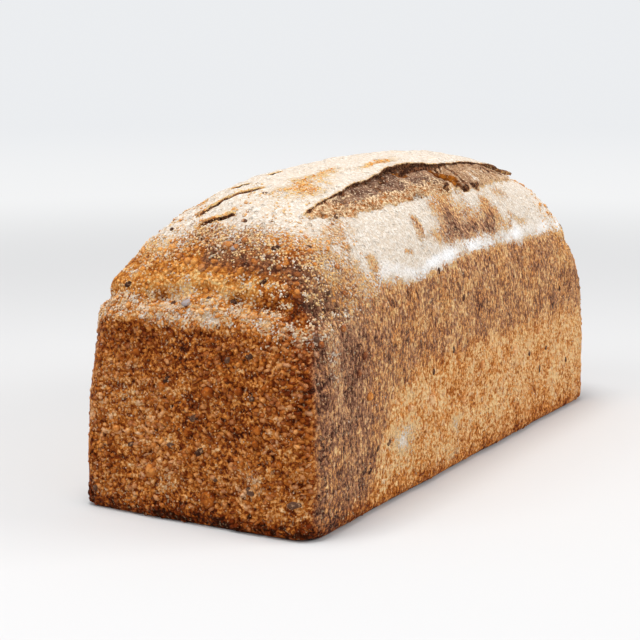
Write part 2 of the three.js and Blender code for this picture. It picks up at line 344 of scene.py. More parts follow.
def worked(points, normals):
    """The skin with its tear, ear, splits, folds and roughness."""
    moved = points.copy()
    height = 0.36 * rough(points, 8.0, 10) + 0.17 * lumps(points, 2.8, 14)
    on_crown = ease(points[:, 2], 84.0, 100.0)
    height += on_crown * (0.3 * rough(points, 5.0, 16) + 0.2 * lumps(points, 3.0, 18))
    # The foot keeps a little back, so that its grains stay within the loaf's own size.
    height -= 0.95 * ease(np.abs(points[:, 0]), 134.0, 137.4)
    height -= 0.45 * ease(np.abs(points[:, 1]), 51.6, 53.6)
    on_side = ease(np.abs(normals[:, 1]), 0.8, 0.97)
    streaks = lumps(points * np.array([1.0, 1.0, 0.28]), 2.4, 20)
    height += on_side * 0.2 * streaks
    above = above_crease(points[:, 1], points[:, 2])
    near_crease = ease(-points[:, 0], 112.0, 122.0) * np.exp(-((above / 9.0) ** 2))
    folds = lumps(points * np.array([1.0, 0.35, 1.0]), 3.4, 24)
    ledges = 1.0 - 2.2 * np.abs(lumps(points * np.array([1.0, 0.4, 1.0]), 6.0, 26))
    height += near_crease * (0.9 * folds + ledges)
    for centre, reach in CREASE_HOLES:
        height -= HOLE_DEPTH * blob(points, centre, reach)
    height += 1.8 * near_crease * ease(points[:, 1], 18.0, 42.0)

    opening, past_lip, width = slash_place(points, normals)
    past_tear = past_lip / width
    clear = np.interp(points[:, 0], CLEAR_ALONG, CLEAR_SHARE) + 0.25 * lumps(points, 6.0, 30)
    lip_height = np.interp(past_lip, LIP_PROFILE, LIP_HEIGHT) * clear
    lip_reach = np.interp(past_lip, LIP_PROFILE, LIP_REACH)
    in_tear = ease(past_lip, 2.4, 4.0) * (1.0 - ease(past_tear, 0.98, 1.12))
    tear_height = np.interp(past_tear, TEAR_PROFILE, TEAR_HEIGHT)
    tear_height += 0.7 * rough(points, 5.5, 34) + 0.4 * lumps(points, 1.7, 38)
    tear_height += 0.8 * torn_ridges(points)
    tear_height -= 1.2 * cracks(points)
    under_lip = ease(past_lip, 2.2, 3.6)
    slashed = blend(lip_height, tear_height * (past_tear < TEAR_END), under_lip)
    height = np.where(past_lip > BEHIND_LIP, height * 0.6 + slashed * opening, height)
    for hollow in TEAR_HOLLOWS:
        openness, across = split_place(points, hollow)
        height -= in_tear * openness * hollow[3] * np.exp(-((across / hollow[2]) ** 2))
    for split in SHORT_SPLITS:
        openness, across = split_place(points, split)
        half_width, depth = split[2:]
        groove = -depth * np.exp(-((across / half_width) ** 2))
        lifted = 0.3 * depth * np.exp(-(((across - 1.6) / 0.9) ** 2))
        height += openness * (groove + lifted)
    height = np.where(points[:, 2] < 1.0, np.minimum(height, 0.0), height)
    moved += normals * height[:, None]
    downhill = np.cross(normals, np.array([-1.0, 0.0, 0.0]))
    moved += downhill * (lip_reach * opening * (past_lip < 5.0))[:, None]
    moved[:, 2] = np.where(points[:, 2] < 0.6, points[:, 2], moved[:, 2])
    return moved


# What the oven and the flour sieve did to each place of the crust, as shares from 0 to 1.
# Along the shown side: where the flour ends, and over what height it thins out.
FLOUR_ALONG = [-140, -112, -105, -97, -90, -84, -78, -54, -20, 0, 37, 100, 140]
FLOUR_LOWEST = [106, 104, 99, 93, 90, 87, 86, 83.5, 86.5, 89, 88.5, 86, 84]
FLOUR_SOFTNESS = [11, 11, 13, 15, 13, 8, 5, 3.5, 3, 3, 3, 4, 5]
BAND_ALONG = [-84, -70, -54, -35, 1, 37, 100, 125]
BAND_HEIGHT = [86, 91, 85, 88, 90.5, 90.5, 89, 87]
GOLDEN_ALONG = [-140, -92, -74, -57, -32, -9, 17, 60, 110, 140]
GOLDEN_TOP = [2, 8, 40, 48, 51, 50, 49, 50, 46, 38]
# Places with less flour: centre, reach, and share of the flour that is missing.
BARE_PATCHES = [
    ((-76, -12, 119), (17, 6, 12), 0.54),
    ((-52, -10, 122.5), (12, 3.4, 9), 0.45),
    ((-19, -15, 124.5), (17, 2.6, 9), 0.65),
    ((-96, 20, 113), (5, 3, 6), 0.5),
    ((13, -45, 96.5), (31, 12, 4.6), 0.86),
    ((-3, -40, 105), (11, 11, 11), 0.9),
    ((32, -43, 101), (10, 9, 6.5), 0.84),
    ((16, -41, 104), (10, 6, 5), 0.4),
    ((-88, -37, 107), (9, 6, 6), 0.4),
    ((54, -36, 107), (12, 4, 4), 0.3),
    ((58, -44, 97), (13, 16, 2.4), 0.35),
    ((-36.5, -43, 100.5), (3.4, 8, 4.8), 0.95),
    ((-77, -46, 91), (4, 8, 3.4), 0.7),
    ((-90, -41, 99), (3.4, 6, 2.4), 0.7),
    ((-50, -45, 95), (3.4, 8, 1.6), 0.6),
    ((-20, -42, 97), (8, 12, 3), 0.5),
]
# Darker, greyer places on the shoulder and the near corner: centre and reach.
DARK_RIDGE = [
    ((-5, -42, 100.5), (12, 12, 8)),
    ((-5, -42, 99), (9, 12, 5)),
    ((26, -44, 97.5), (12, 12, 4)),
    ((14, -45, 96.5), (28, 14, 5)),
    ((-36.5, -43, 100.5), (3.4, 8, 4.6)),
    ((-127, -48, 62), (9, 9, 24)),
    ((-122, -43, 86), (10, 7, 10)),
    ((-124, -43, 82), (9, 6, 9)),
    ((-117, -38, 95), (8, 7, 7)),
    ((-109, -41, 96), (9, 8, 9)),
    ((-106, -47, 76), (16, 10, 16)),
    ((-108, -52, 46), (13, 10, 34)),
]
# Burnt edges of the underside: centre and reach. Dusted places: centre, reach and flour.
SCORCHED = [
    ((-137, 50, 4), (6, 6, 5)),
    ((-137, -14, 1), (4, 30, 4.5)),
    ((-135, -52, 3), (8, 8, 7)),
]
DUSTED_SPOTS = [
    ((-63, -52, 24), (8, 6, 7), 1),
    ((-82, -46, 86), (4, 6, 7), 0.95),
    ((-92, -46, 85), (3, 6, 8), 0.8),
    ((-106, -48, 78), (3.5, 6, 9), 0.72),
    ((-130, 4, 79.5), (8, 5, 2.6), 0.9),
    ((-131, -9, 77.6), (8, 6, 2.4), 0.9),
    ((-131, -29, 75), (8, 7, 2.2), 0.8),
    ((-131.5, 15, 74), (8, 7, 2), 0.7),
    ((-20, -52, 19), (3.6, 6, 3), 0.86),
    ((-20, -52, 8), (10, 6, 4), 0.4),
    ((-118, -51, 66), (6, 6, 16), 0.55),
    ((-100, -50, 82), (8, 8, 9), 0.6),
    ((-106, -42, 97), (10, 9, 9), 0.8),
    ((-137, 30, 8), (5, 10, 4), 0.35),
    ((-137, -26, 20), (5, 5, 5), 0.42),
    ((-137, 12, 14), (5, 6, 4), 0.36),
    ((-136, 30, 45), (5, 14, 12), 0.26),
    ((90, -53, 24), (4, 6, 18), 0.34),
    ((60, -53, 44), (10, 6, 4), 0.26),
]
# Lighter places along the crease, or darker where negative: centre, reach and how much.
CREASE_PATCHES = [
    ((-128, 18, 87), (12, 34, 7), 0.29),
    ((-127, -12, 88), (12, 22, 6.5), 0.23),
    ((-126, -33, 84), (8, 9, 8), -0.07),
    ((-132, 4, 77), (10, 40, 4), 0.17),
]


def baked(points, normals):
    """Shares that the crust's finish is mixed from, one value for each point."""
    x, y, z = points.T
    on_end = ease(np.abs(normals[:, 0]), 0.5, 0.85)
    on_side = ease(np.abs(normals[:, 1]), 0.55, 0.9) * (1.0 - on_end)
    big = rough(points, 26.0, 50)
    middle = rough(points, 9.0, 54)
    streaks = rough(points * np.array([1.0, 1.0, 0.3]), 5.0, 58)
    above = above_crease(y, z)

    shown_side = ease(-y, -30.0, 10.0)
    lowest = blend(98.0, np.interp(x, FLOUR_ALONG, FLOUR_LOWEST), shown_side)
    near_end = np.interp(x, FLOUR_ALONG, FLOUR_LOWEST) - 6.0 * ease(y, 0.0, 24.0)
    lowest = np.where(x < -95.0, near_end, lowest)
    softness = np.interp(x, FLOUR_ALONG, FLOUR_SOFTNESS)
    flour = ease((z - lowest + 2.0 * streaks + 1.2 * middle) / softness, -1.0, 1.0)
    wandering = points + 0.0
    for axis in range(3):
        wide = 3.4 * lumps(points, 10.0, 80 + axis)
        wandering[:, axis] += wide + 1.6 * lumps(points, 4.0, 84 + axis)
    for centre, reach, share in BARE_PATCHES:
        away = -np.log(np.maximum(blob(wandering, centre, reach), 1e-9))
        flour *= 1.0 - share * np.exp(-(away**1.5))
    band = np.interp(x, BAND_ALONG, BAND_HEIGHT)
    in_band = np.exp(-(((z - band - 1.4 * streaks) / 2.7) ** 4)) * shown_side
    in_band *= ease(x, -90.0, -78.0) * np.clip(0.86 + 0.25 * middle, 0.0, 1.0)
    flour = np.maximum(flour, in_band)
    rim_dust = np.exp(-(((above + 5.5 + 3.0 * middle) / 3.6) ** 2)) * ease(-x, 110.0, 122.0)
    flour = np.maximum(flour, rim_dust * (0.46 + 0.24 * middle))
    for centre, reach, share in DUSTED_SPOTS:
        flour = np.maximum(flour, share * blob(wandering, centre, reach))

    golden_top = np.interp(x, GOLDEN_ALONG, GOLDEN_TOP)
    golden = 1.0 - ease(z - golden_top + 3.0 * streaks + 2.0 * big, -6.0, 6.0)
    crown_gold = ease(z, 108.0, 116.0)
    bake = 0.5 + 0.05 * big - 0.28 * crown_gold
    warm = 0.95 - 0.25 * crown_gold
    near_corner = 1.0 - ease(x, -112.0, -74.0)
    bake = blend(bake, 0.35 + 0.05 * streaks + 0.09 * near_corner - 0.17 * golden, on_side)
    warm = blend(warm, 0.36 + 0.54 * golden + 0.08 * streaks, on_side)
    upper_end = ease(z + 3.0 * big, 28.0, 52.0) * on_end
    bake += on_end * (0.03 + 0.05 * rough(points, 18.0, 67)) + 0.05 * upper_end
    on_dome = ease(above, 2.0, 8.0) * ease(np.abs(x), 90.0, 110.0)
    brown = ease(rough(points, 11.0, 62), -0.3, 0.3) * ease(above, 5.0, 15.0)
    bake += on_dome * (0.2 * brown - 0.05) - 0.32 * flour
    warm -= on_dome * (0.08 + 0.42 * brown)
    bake += on_side * 0.13 * rough(points, 7.0, 66)
    for centre, reach, lighter in CREASE_PATCHES:
        here = blob(points, centre, reach)
        bake -= lighter * here
        warm += 0.18 * here
    for centre, reach in SCORCHED:
        bake += 0.3 * blob(wandering, centre, reach)
    # Painted shade: the crust in the crease cavities is darkened.
    for centre, reach in CREASE_HOLES:
        bake += 0.3 * blob(points, centre, reach)
    for centre, reach in DARK_RIDGE:
        here = blob(points, centre, reach)
        bake += 0.14 * here
        warm -= 0.14 * here
    near_dome = ease(above, -9.0, 6.0) * ease(np.abs(x), 90.0, 110.0)
    bake += 0.22 * (1.0 - ease(z + 2.0 * middle, 1.0, 10.0))
    bake += on_side * 0.12 * (1.0 - ease(z + 2.0 * middle, 4.0, 18.0))
    return {
        "flour": np.clip(flour, 0.0, 1.0),
        "bake": np.clip(bake, 0.0, 1.0),
        "warm": np.clip(warm, 0.0, 1.0),
        "wall": on_side * (1.0 - 0.65 * golden),
        "grain": 0.0 * x,
        "plain": 0.75 * np.maximum(near_dome, crown_gold),
        "white": np.clip(in_band * (0.8 + 0.7 * middle - 0.3 * ease(x, -20.0, 40.0)), 0.0, 1.0),
    }


def torn_shares(points, normals, shares):
    """Adds what the tear changes: bare crumb, the burnt lip and the hollows, and painted shade under the
    lip, in the hollows, cracks and ridge valleys and in the short splits.
    """
    opening, past_lip, width = slash_place(points, normals)
    past_tear = past_lip / width
    x = points[:, 0]
    patches = rough(points, 8.0, 70)
    open_enough = ease(opening, 0.12, 0.4)
    frayed = 0.08 + 0.08 * ease(x, 0.0, 20.0)
    torn = ease(past_lip, 0.5, 1.3) * open_enough
    torn = torn * (1.0 - ease(past_tear + frayed * patches, 0.94, 1.12))
    burnt = 1.1 * np.exp(-(((past_lip - 0.7) / 0.75) ** 2)) * open_enough
    # Just under the lip's edge the crust is painted dark: partly char, partly painted shade of the
    # overhang.
    deep = 1.0 - ease(past_lip, 1.2, 2.6 + 2.0 * np.maximum(patches, 0.0))
    burnt += 0.4 * ease(past_lip, 0.6, 1.2) * deep * open_enough
    ragged = ease(past_tear, 0.66, 0.84) * ease(x, 0.0, 10.0) * (1.0 - ease(x, 40.0, 54.0))
    burnt *= 0.85 + 0.45 * lumps(points, 4.0, 75)
    burnt += torn * ragged * np.clip(0.3 + 1.5 * lumps(points, 2.3, 74), 0.0, 0.9)
    # Painted shade: the cracks in the torn crumb are darkened.
    burnt += 0.5 * torn * cracks(points)
    # Painted shade: dark patches in the upper half of the tear, under the lip.
    under_lip_shade = 1.0 - ease(past_tear, 0.4, 0.75)
    burnt += 0.6 * torn * under_lip_shade * ease(rough(points, 6.0, 76), 0.1, 0.9)
    # Painted shade: the valleys between the fine ridges are darkened.
    burnt += 0.7 * torn * ease(-torn_ridges(points), 0.12, 0.5)
    orange = 0.0 * x
    for hollow in TEAR_HOLLOWS:
        openness, across = split_place(points, hollow)
        share = np.abs(across) / hollow[2]
        orange += torn * openness * hollow[4] * np.exp(-(share**4))
        # Painted shade: a hollow that is not orange is darkened.
        burnt += torn * openness * (0.95 - 0.95 * hollow[4]) * np.exp(-(share**4))
    for split in SHORT_SPLITS:
        openness, across = split_place(points, split)
        # Painted shade: the groove of each short split is darkened.
        burnt += 1.3 * openness * np.exp(-(((across - 0.15) / 0.85) ** 4))
        bare = 0.9 * openness * np.exp(-(((across - 1.5) / 0.9) ** 2))
        shares["flour"] = shares["flour"] * (1.0 - bare)
    golden = ease(past_tear, 0.5, 0.9) * (1.0 - ease(x, 2.0, 26.0)) + (1.0 - ease(x, -84.0, -60.0))
    strands = 0.75 * torn * ease(torn_ridges(points), 0.1, 0.5) * ease(patches, -0.6, 0.4)
    shares["flour"] = np.maximum(shares["flour"] * (1.0 - torn), strands)
    shares["flour"] *= 1.0 - np.clip(burnt, 0, 1)
    shares["torn"] = np.clip(torn, 0.0, 1.0)
    shares["burnt"] = np.clip(burnt, 0.0, 1.0)
    shares["crumb"] = np.clip(golden + 0.3 * patches, 0.0, 1.0)
    shares["orange"] = np.clip(orange, 0.0, 1.0)
    tan = ease(x, 2.0, 26.0) + 0.5 * (1.0 - ease(x, -80.0, -56.0)) + 0.4 * patches
    shares["tan"] = np.clip(tan, 0.0, 1.0)
    return shares


def crust_shares(points, normals):
    """Every share at the points: what the oven did, then what the tear changed."""
    return torn_shares(points, normals, baked(points, normals))


def box_of_cells(length, width, height, counts):
    """A closed box standing on its base, with each edge cut into its count of cells."""
    box = bmesh.new()
    bmesh.ops.create_cube(box, size=1.0)
    bmesh.ops.scale(box, vec=(length, width, height), verts=box.verts)
    bmesh.ops.translate(box, vec=(0, 0, height / 2), verts=box.verts)
    for axis, count in enumerate(counts):
        along = [
            edge
            for edge in box.edges
            if abs(edge.verts[0].co[axis] - edge.verts[1].co[axis]) > 1e-6
        ]
        bmesh.ops.subdivide_edges(box, edges=along, cuts=count - 1, use_grid_fill=True)
    return box


def coordinates(skin):
    return np.array([vert.co[:] for vert in skin.verts])


def refine(skin, wanted):
    """Halves the cells whose corners all lie where wanted says."""
    skin.verts.ensure_lookup_table()
    chosen = wanted(coordinates(skin))
    skin.verts.index_update()
    edges = [edge for edge in skin.edges if all(chosen[vert.index] for vert in edge.verts)]
    bmesh.ops.subdivide_edges(skin, edges=edges, cuts=1, use_grid_fill=True)


def set_places(skin, places):
    for vert, place in zip(skin.verts, places):
        vert.co = place


CELL = 1.42
skin = box_of_cells(
    FOOT_LENGTH, FOOT_WIDTH, CROWN_HEIGHT,
    [round(size / CELL) for size in (FOOT_LENGTH, FOOT_WIDTH, CROWN_HEIGHT)],
)
set_places(skin, pushed_out(coordinates(skin)))


def beside_slash(points):
    """True near the long slash and the short splits."""
    x, y, z = points.T
    past = np.interp(x, SLASH_ALONG, LIP_ACROSS) - y
    long_slash = (x > -103) & (x < 94) & (past > -5) & (past < 20)
    splits = (x > -116) & (x < -52) & (y > -5) & (y < 17) & (z > 100) & (np.abs(x + 73) > 5)
    return (z > 95) & (long_slash | splits)


def beside_lip(points):
    """True on the lip itself and on the short splits."""
    x, y, z = points.T
    past = np.interp(x, SLASH_ALONG, LIP_ACROSS) - y
    near = (x > -102) & (x < 93) & (past > -2) & (past < 4)
    for split in SHORT_SPLITS:
        openness, across = split_place(points, split)
        near |= (openness > 0) & (np.abs(across) < SPLIT_REACH)
    return (z > 95) & near


refine(skin, beside_slash)
refine(skin, beside_lip)
set_places(skin, pushed_out(coordinates(skin)))
under = [face for face in skin.faces if all(vert.co.z < 0.01 for vert in face.verts)]
bmesh.ops.dissolve_faces(skin, faces=under, use_verts=True)


def finished(name, shape, finish, shares=None):
    """Turns a shape in millimetres into a piece in metres, held within the solid's own box."""
    mesh = bpy.data.meshes.new(name)
    bmesh.ops.scale(shape, vec=(MILLIMETRE,) * 3, verts=shape.verts)
    for vert in shape.verts:
        limits = zip(vert.co, cad_box[0], cad_box[1])
        vert.co = [min(max(value, low), high) for value, low, high in limits]
    shape.to_mesh(mesh)
    shape.free()
    for share, values in (shares or {}).items():
        layer = mesh.attributes.new(share, "FLOAT", "POINT")
        layer.data.foreach_set("value", values.astype(np.float32))
    mesh.shade_smooth()
    mesh.materials.append(finish)
    piece = bpy.data.objects.new(name, mesh)
    bpy.context.scene.collection.objects.link(piece)
    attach(piece, "root")
    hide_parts("loaf")


class Amount:
    """A number of a finish's node tree that can be calculated with."""

    def __init__(self, finish, socket):
        self.finish = finish
        self.socket = socket

    def joined(self, operation, first, second):
        return self.finish.node("ShaderNodeMath", {"operation": operation}, {0: first, 1: second})[0]

    def __add__(self, other):
        return self.joined("ADD", self, other)

    def __radd__(self, other):
        return self.joined("ADD", other, self)

    def __sub__(self, other):
        return self.joined("SUBTRACT", self, other)

    def __rsub__(self, other):
        return self.joined("SUBTRACT", other, self)

    def __mul__(self, other):
        return self.joined("MULTIPLY", self, other)

    def __rmul__(self, other):
        return self.joined("MULTIPLY", other, self)

    def between(self, low, high):
        """0 below low, 1 above high; low may be the larger of the two."""
        settings = {"interpolation_type": "SMOOTHSTEP"}
        sockets = {"Value": self, "From Min": low, "From Max": high}
        return self.finish.node("ShaderNodeMapRange", settings, sockets)["Result"]


class Finish:
    """A material whose nodes are made by one method."""

    def __init__(self, material):
        self.material = material
        material.use_nodes = True
        self.tree = material.node_tree
        self.tree.nodes.clear()

    def node(self, kind, settings, sockets):
        made = self.tree.nodes.new(kind)
        for setting, value in settings.items():
            if setting == "stops":
                stops = made.color_ramp.elements
                while len(stops) < len(value):
                    stops.new(0.5)
                for stop, (place, colour) in zip(stops, value):
                    stop.position = place
                    stop.color = (*colour, 1.0)
            else:
                setattr(made, setting, value)
        for socket, value in sockets.items():
            if isinstance(value, Amount):
                self.tree.links.new(value.socket, made.inputs[socket])
            else:
                made.inputs[socket].default_value = value
        return Outlets(self, made)

    def share(self, name):
        return self.node("ShaderNodeAttribute", {"attribute_name": name}, {})["Fac"]

    def mixed(self, share, first, second):
        """A colour between two colours."""
        settings = {"data_type": "RGBA"}
        return self.node("ShaderNodeMix", settings, {0: share, 6: first, 7: second})[2]

    def stretched(self, place, stretch):
        settings = {"operation": "MULTIPLY"}
        return self.node("ShaderNodeVectorMath", settings, {0: place, 1: stretch})[0]

    def ramp(self, amount, stops):
        """A colour that runs through the stops as the amount grows."""
        return self.node("ShaderNodeValToRGB", {"stops": stops}, {"Fac": amount})["Color"]


class Outlets:
    """The outputs of a node, by name or number."""

    def __init__(self, finish, node):
        self.finish = finish
        self.outputs = node.outputs

    def __getitem__(self, key):
        return Amount(self.finish, self.outputs[key])


# Crust colours from the lightest bake to the darkest, where it is golden and where it is grey.
GOLDEN_CRUST = [
    (0.0, (0.98, 0.65, 0.31)),
    (0.25, (0.82, 0.32, 0.068)),
    (0.5, (0.455, 0.122, 0.016)),
    (0.75, (0.18, 0.028, 0.003)),
    (1.0, (0.04, 0.007, 0.001)),
]
GREY_CRUST = [
    (0.0, (0.93, 0.66, 0.42)),
    (0.25, (0.69, 0.385, 0.215)),
    (0.5, (0.385, 0.178, 0.10)),
    (0.75, (0.145, 0.051, 0.029)),
    (1.0, (0.04, 0.014, 0.009)),
]
PLAIN_TINT = (0.98, 1.0, 0.88)
# Dark and light of each bare or floured surface.
DULL_CRUMB = ((0.13, 0.058, 0.036, 1), (0.35, 0.18, 0.11, 1))
TAN_CRUMB = ((0.33, 0.155, 0.075, 1), (0.72, 0.44, 0.245, 1))
GRAINY_CRUMB = ((0.50, 0.17, 0.035, 1), (1.0, 0.74, 0.46, 1))
FRESH_CRUMB = ((0.12, 0.026, 0.002, 1), (0.42, 0.125, 0.009, 1))
# Char, the same dark colour that also paints shade in the tear and the splits.
CHAR_AND_SHADE_TONES = ((0.060, 0.020, 0.009, 1), (0.26, 0.10, 0.042, 1))
FLOUR = ((0.68, 0.56, 0.44, 1), (0.81, 0.73, 0.64, 1))
PALE_CRUMB = (0.84, 0.62, 0.42, 1)
THIN_FLOUR = (0.74, 0.50, 0.28, 1)
CAKED_FLOUR = (0.95, 0.925, 0.905, 1)
# How deep the finest relief looks, in metres.
CRUST_BUMP = 0.0013


def crust_finish():
    """Baked crust, from golden to burnt, with flour on it, bare crumb in the tear, and painted shade in
    the tear's hollows, cracks and splits and in small pits.
    """
    crust = Finish(bpy.data.materials.new("baked_crust"))
    place = crust.node("ShaderNodeTexCoord", {}, {})["Object"]
    place = crust.stretched(place, (1 / MILLIMETRE,) * 3)
    flour, bake, warm, wall = map(crust.share, ("flour", "bake", "warm", "wall"))
    grain, torn, crumb, burnt = map(crust.share, ("grain", "torn", "crumb", "burnt"))
    white, orange, tan, plain = map(crust.share, ("white", "orange", "tan", "plain"))

    def noise(size, detail, at=place):
        sockets = {"Vector": at, "Scale": 1.0 / size, "Detail": detail, "Roughness": 0.6}
        return crust.node("ShaderNodeTexNoise", {}, sockets)["Fac"]

    def cells(size, at=place):
        return crust.node("ShaderNodeTexVoronoi", {}, {"Vector": at, "Scale": 1.0 / size})

    upright = crust.stretched(place, (1.0, 1.0, 0.34))
    level = crust.stretched(place, (0.8, 0.62, 1.0))
    blotches = noise(11.0, 3.0)
    grit = noise(1.25, 3.0).between(0.38, 0.62)
    dust = noise(0.95, 2.0).between(0.36, 0.64)
    streaks = noise(1.0, 3.0, upright).between(0.38, 0.62)
    flakes = cells(2.4, level)
    flake_core = flakes["Distance"].between(0.8, 0.3)
    flake_tone = crust.node("ShaderNodeSeparateColor", {}, {"Color": flakes["Color"]})["Red"]

    speck = cells(3.1)
    speck_pick = crust.node("ShaderNodeSeparateColor", {}, {"Color": speck["Color"]})["Green"]
    # Painted shade: a few small pits, dented by the bump, are painted darker as the shade in them.
    shaded_pits = speck["Distance"].between(0.34, 0.2) * speck_pick.between(0.45, 0.5)
    grain_tone = 0.26 * (0.5 - flake_core) + 0.24 * (flake_tone - 0.5) + 0.42 * (0.5 - grit)
    grain_tone = grain_tone + 0.2 * shaded_pits
    coarse = noise(2.3, 2.0, upright).between(0.36, 0.64)
    streak_tone = 0.38 * (0.5 - streaks) + 0.38 * (0.5 - grit) + 0.24 * (0.5 - coarse)
    pattern = wall * streak_tone + (1 - wall) * grain_tone
    clumps = noise(4.0, 2.0).between(0.35, 0.65)
    pattern = pattern * (1 - 0.8 * grain) * (1 - 0.5 * flour) * (1 - 0.5 * plain)
    tone = bake + pattern + 0.2 * (blotches - 0.5) + 0.14 * (clumps - 0.5)
    golden = crust.ramp(tone, GOLDEN_CRUST)
    grey = crust.ramp(tone, GREY_CRUST)
    hue = warm + (tone - 0.5) * (0.9 - 2.0 * wall - 2.2 * plain) + 0.4 * (blotches - 0.5)
    colour = crust.mixed(hue.between(0.1, 0.9), grey, golden)
    colour = crust.mixed(plain, colour, crust.stretched(colour, PLAIN_TINT))

    dull_crumb = crust.mixed(clumps, *DULL_CRUMB)
    tan_crumb = crust.mixed(0.6 * clumps + 0.4 * grit, *TAN_CRUMB)
    smooth_crumb = crust.mixed(tan, dull_crumb, tan_crumb)
    smooth_crumb = crust.mixed(dust.between(0.85, 1.05), smooth_crumb, PALE_CRUMB)
    grainy_crumb = crust.mixed(grit, *GRAINY_CRUMB)
    grainy = (crumb + 0.6 * (grit - 0.5)).between(0.25, 0.75)
    crumb_colour = crust.mixed(grainy, smooth_crumb, grainy_crumb)
    colour = crust.mixed(torn, colour, crumb_colour)
    fresh = crust.mixed(clumps, *FRESH_CRUMB)
    colour = crust.mixed(orange.between(0.15, 0.5), colour, fresh)
    # Charred crust and painted shade share this dark colour.
    char_and_shade_colour = crust.mixed(grit.between(0.4, 1.0), *CHAR_AND_SHADE_TONES)
    colour = crust.mixed((burnt + 0.35 * (grit - 0.5)).between(0.35, 0.7), colour, char_and_shade_colour)

    dusting = flour + (0.5 - dust) * (1.0 - 0.6 * flour) + 0.25 * (0.5 - streaks) * (1.1 - flour)
    cover = dusting.between(0.42, 0.86)
    cream = crust.mixed(grit, *FLOUR)
    cream = crust.mixed((flour + 0.5 * (clumps - 0.5)).between(0.2, 0.9), THIN_FLOUR, cream)
    cream = crust.mixed(white, cream, CAKED_FLOUR)
    colour = crust.mixed(cover, colour, cream)

    relief = 0.6 * flake_core * (1 - wall) * (1 - plain) + 0.5 * grit + 0.25 * dust
    relief = (relief + 0.5 * wall * streaks) * (1 - 0.55 * cover) * (1 - 0.5 * grain)
    bump = crust.node(
        "ShaderNodeBump",
        {},
        {"Height": relief - 0.6 * shaded_pits, "Distance": CRUST_BUMP, "Strength": 1.0},
    )["Normal"]
    sockets = {
        "Base Color": colour,
        "Roughness": 0.55 + 0.35 * cover,
        "Specular IOR Level": 0.04,
        "Normal": bump,
    }
    shader = crust.node("ShaderNodeBsdfPrincipled", {}, sockets)["BSDF"]
    crust.node("ShaderNodeOutputMaterial", {}, {"Surface": shader})
    return crust.material


baked_crust = crust_finish()
smooth_places = coordinates(skin)
smooth_normals = outward(smooth_places)
skin_shares = crust_shares(smooth_places, smooth_normals)
set_places(skin, worked(smooth_places, smooth_normals))
finished("bread", skin, baked_crust, skin_shares)


# ---- Grains in the crust ------------------------------------------------------------------------
# Crushed grain and bran stand in the crust like a mosaic: flat flakes on the two ends, small
# grains on the shoulders above them, and slim upright grains on the long walls, where the dough
# rose along the tin. They are baked in, about half sunk, and the foot of each is painted darker
# as the shade of the crevice round it.

FLAKE_SPACING = (2.7, 2.0)
FLAKE_SIZE = (1.45, 0.95, 0.6)
SHOULDER_SPACING = (2.2, 2.0)
SHOULDER_SIZE = (0.85, 0.75, 0.55)
GRAIN_SPACING = (2.1, 3.8)
GRAIN_SIZE = (0.66, 1.25, 0.48)
GRAIN_SUNK = 0.12
# How much darker the foot of each grain is painted, as shade.
GRAIN_FOOT_SHADE = 0.34
SOWN_UNEVENLY = 0.42

# Where grids are sown before they are pushed out: on the walls, the ends and the shoulders.
WALL_START = 52.0
END_START = 134.0
SHOULDER_FOOT = (140.0, 76.0)
SHOULDER_LEAN = 0.5

UPRIGHT = (0.0, 0.0, 1.0)
# Also has a direction where the crust is level.
NEARLY_UPRIGHT = (0.0, 0.1, 1.0)


def copies(shape, count):
    """Repeats the one shape in a mesh, copy after copy, until there are count of them."""
    size = len(shape.verts)
    made = 1
    while made < count:
        more = min(made, count - made)
        shape.verts.ensure_lookup_table()
        geometry = shape.verts[: more * size]
        faces = {face for vert in geometry for face in vert.link_faces}
        edges = {edge for vert in geometry for edge in vert.link_edges}
        edges = sorted(edges, key=lambda edge: edge.index)
        faces = sorted(faces, key=lambda face: face.index)
        bmesh.ops.duplicate(shape, geom=list(geometry) + edges + faces)
        shape.edges.index_update()
        shape.faces.index_update()
        made += more
    shape.verts.ensure_lookup_table()


def ball_copies(count, subdivisions):
    """A mesh that holds count unit balls, and the corners of one of them."""
    shape = bmesh.new()
    bmesh.ops.create_icosphere(shape, subdivisions=subdivisions, radius=1.0)
    base = coordinates(shape)
    copies(shape, count)
    return shape, base


def standing_on(places, normals, upright, base, sizes, turns):
    """Vertex places of copies of base, each scaled, turned and stood on its place."""
    along = np.cross(upright, normals)
    along /= np.linalg.norm(along, axis=1, keepdims=True)
    raised = np.cross(normals, along)
    cos, sin = np.cos(turns)[:, None], np.sin(turns)[:, None]
    first = along * cos + raised * sin
    second = raised * cos - along * sin
    local = base[None, :, :] * sizes[:, None, :]
    spread = local[:, :, 0:1] * first[:, None] + local[:, :, 1:2] * second[:, None]
    spread = spread + local[:, :, 2:3] * normals[:, None]
    return (places[:, None] + spread).reshape(-1, 3)


def dented(places, widths, depth, size, seeds):
    """The corners of copies moved a little each way, so that no two copies are alike."""
    shifts = np.stack([lumps(places, size, seed) for seed in seeds], axis=1)
    return places + depth * widths.repeat(len(places) // len(widths), axis=0) * shifts


def sown(chance, across, along, spacing, on):
    """Loose grids of starting places on two opposite faces; on puts a grid on its face."""
    return np.concatenate([sown_on(chance, across, along, spacing, on, sign) for sign in (-1, 1)])


def sown_on(chance, across, along, spacing, on, sign):
    first = np.arange(across[0], across[1], spacing[0])
    second = np.arange(along[0], along[1], spacing[1])
    grid = np.array(np.meshgrid(first, second)).reshape(2, -1).T
    uneven = chance.uniform(-SOWN_UNEVENLY, SOWN_UNEVENLY, grid.shape)
    grid = grid + uneven * np.array(spacing)
    return pushed_out(on(grid, sign))


def on_walls(grid, sign):
    return np.stack([grid[:, 0], np.full(len(grid), WALL_START * sign), grid[:, 1]], axis=1)


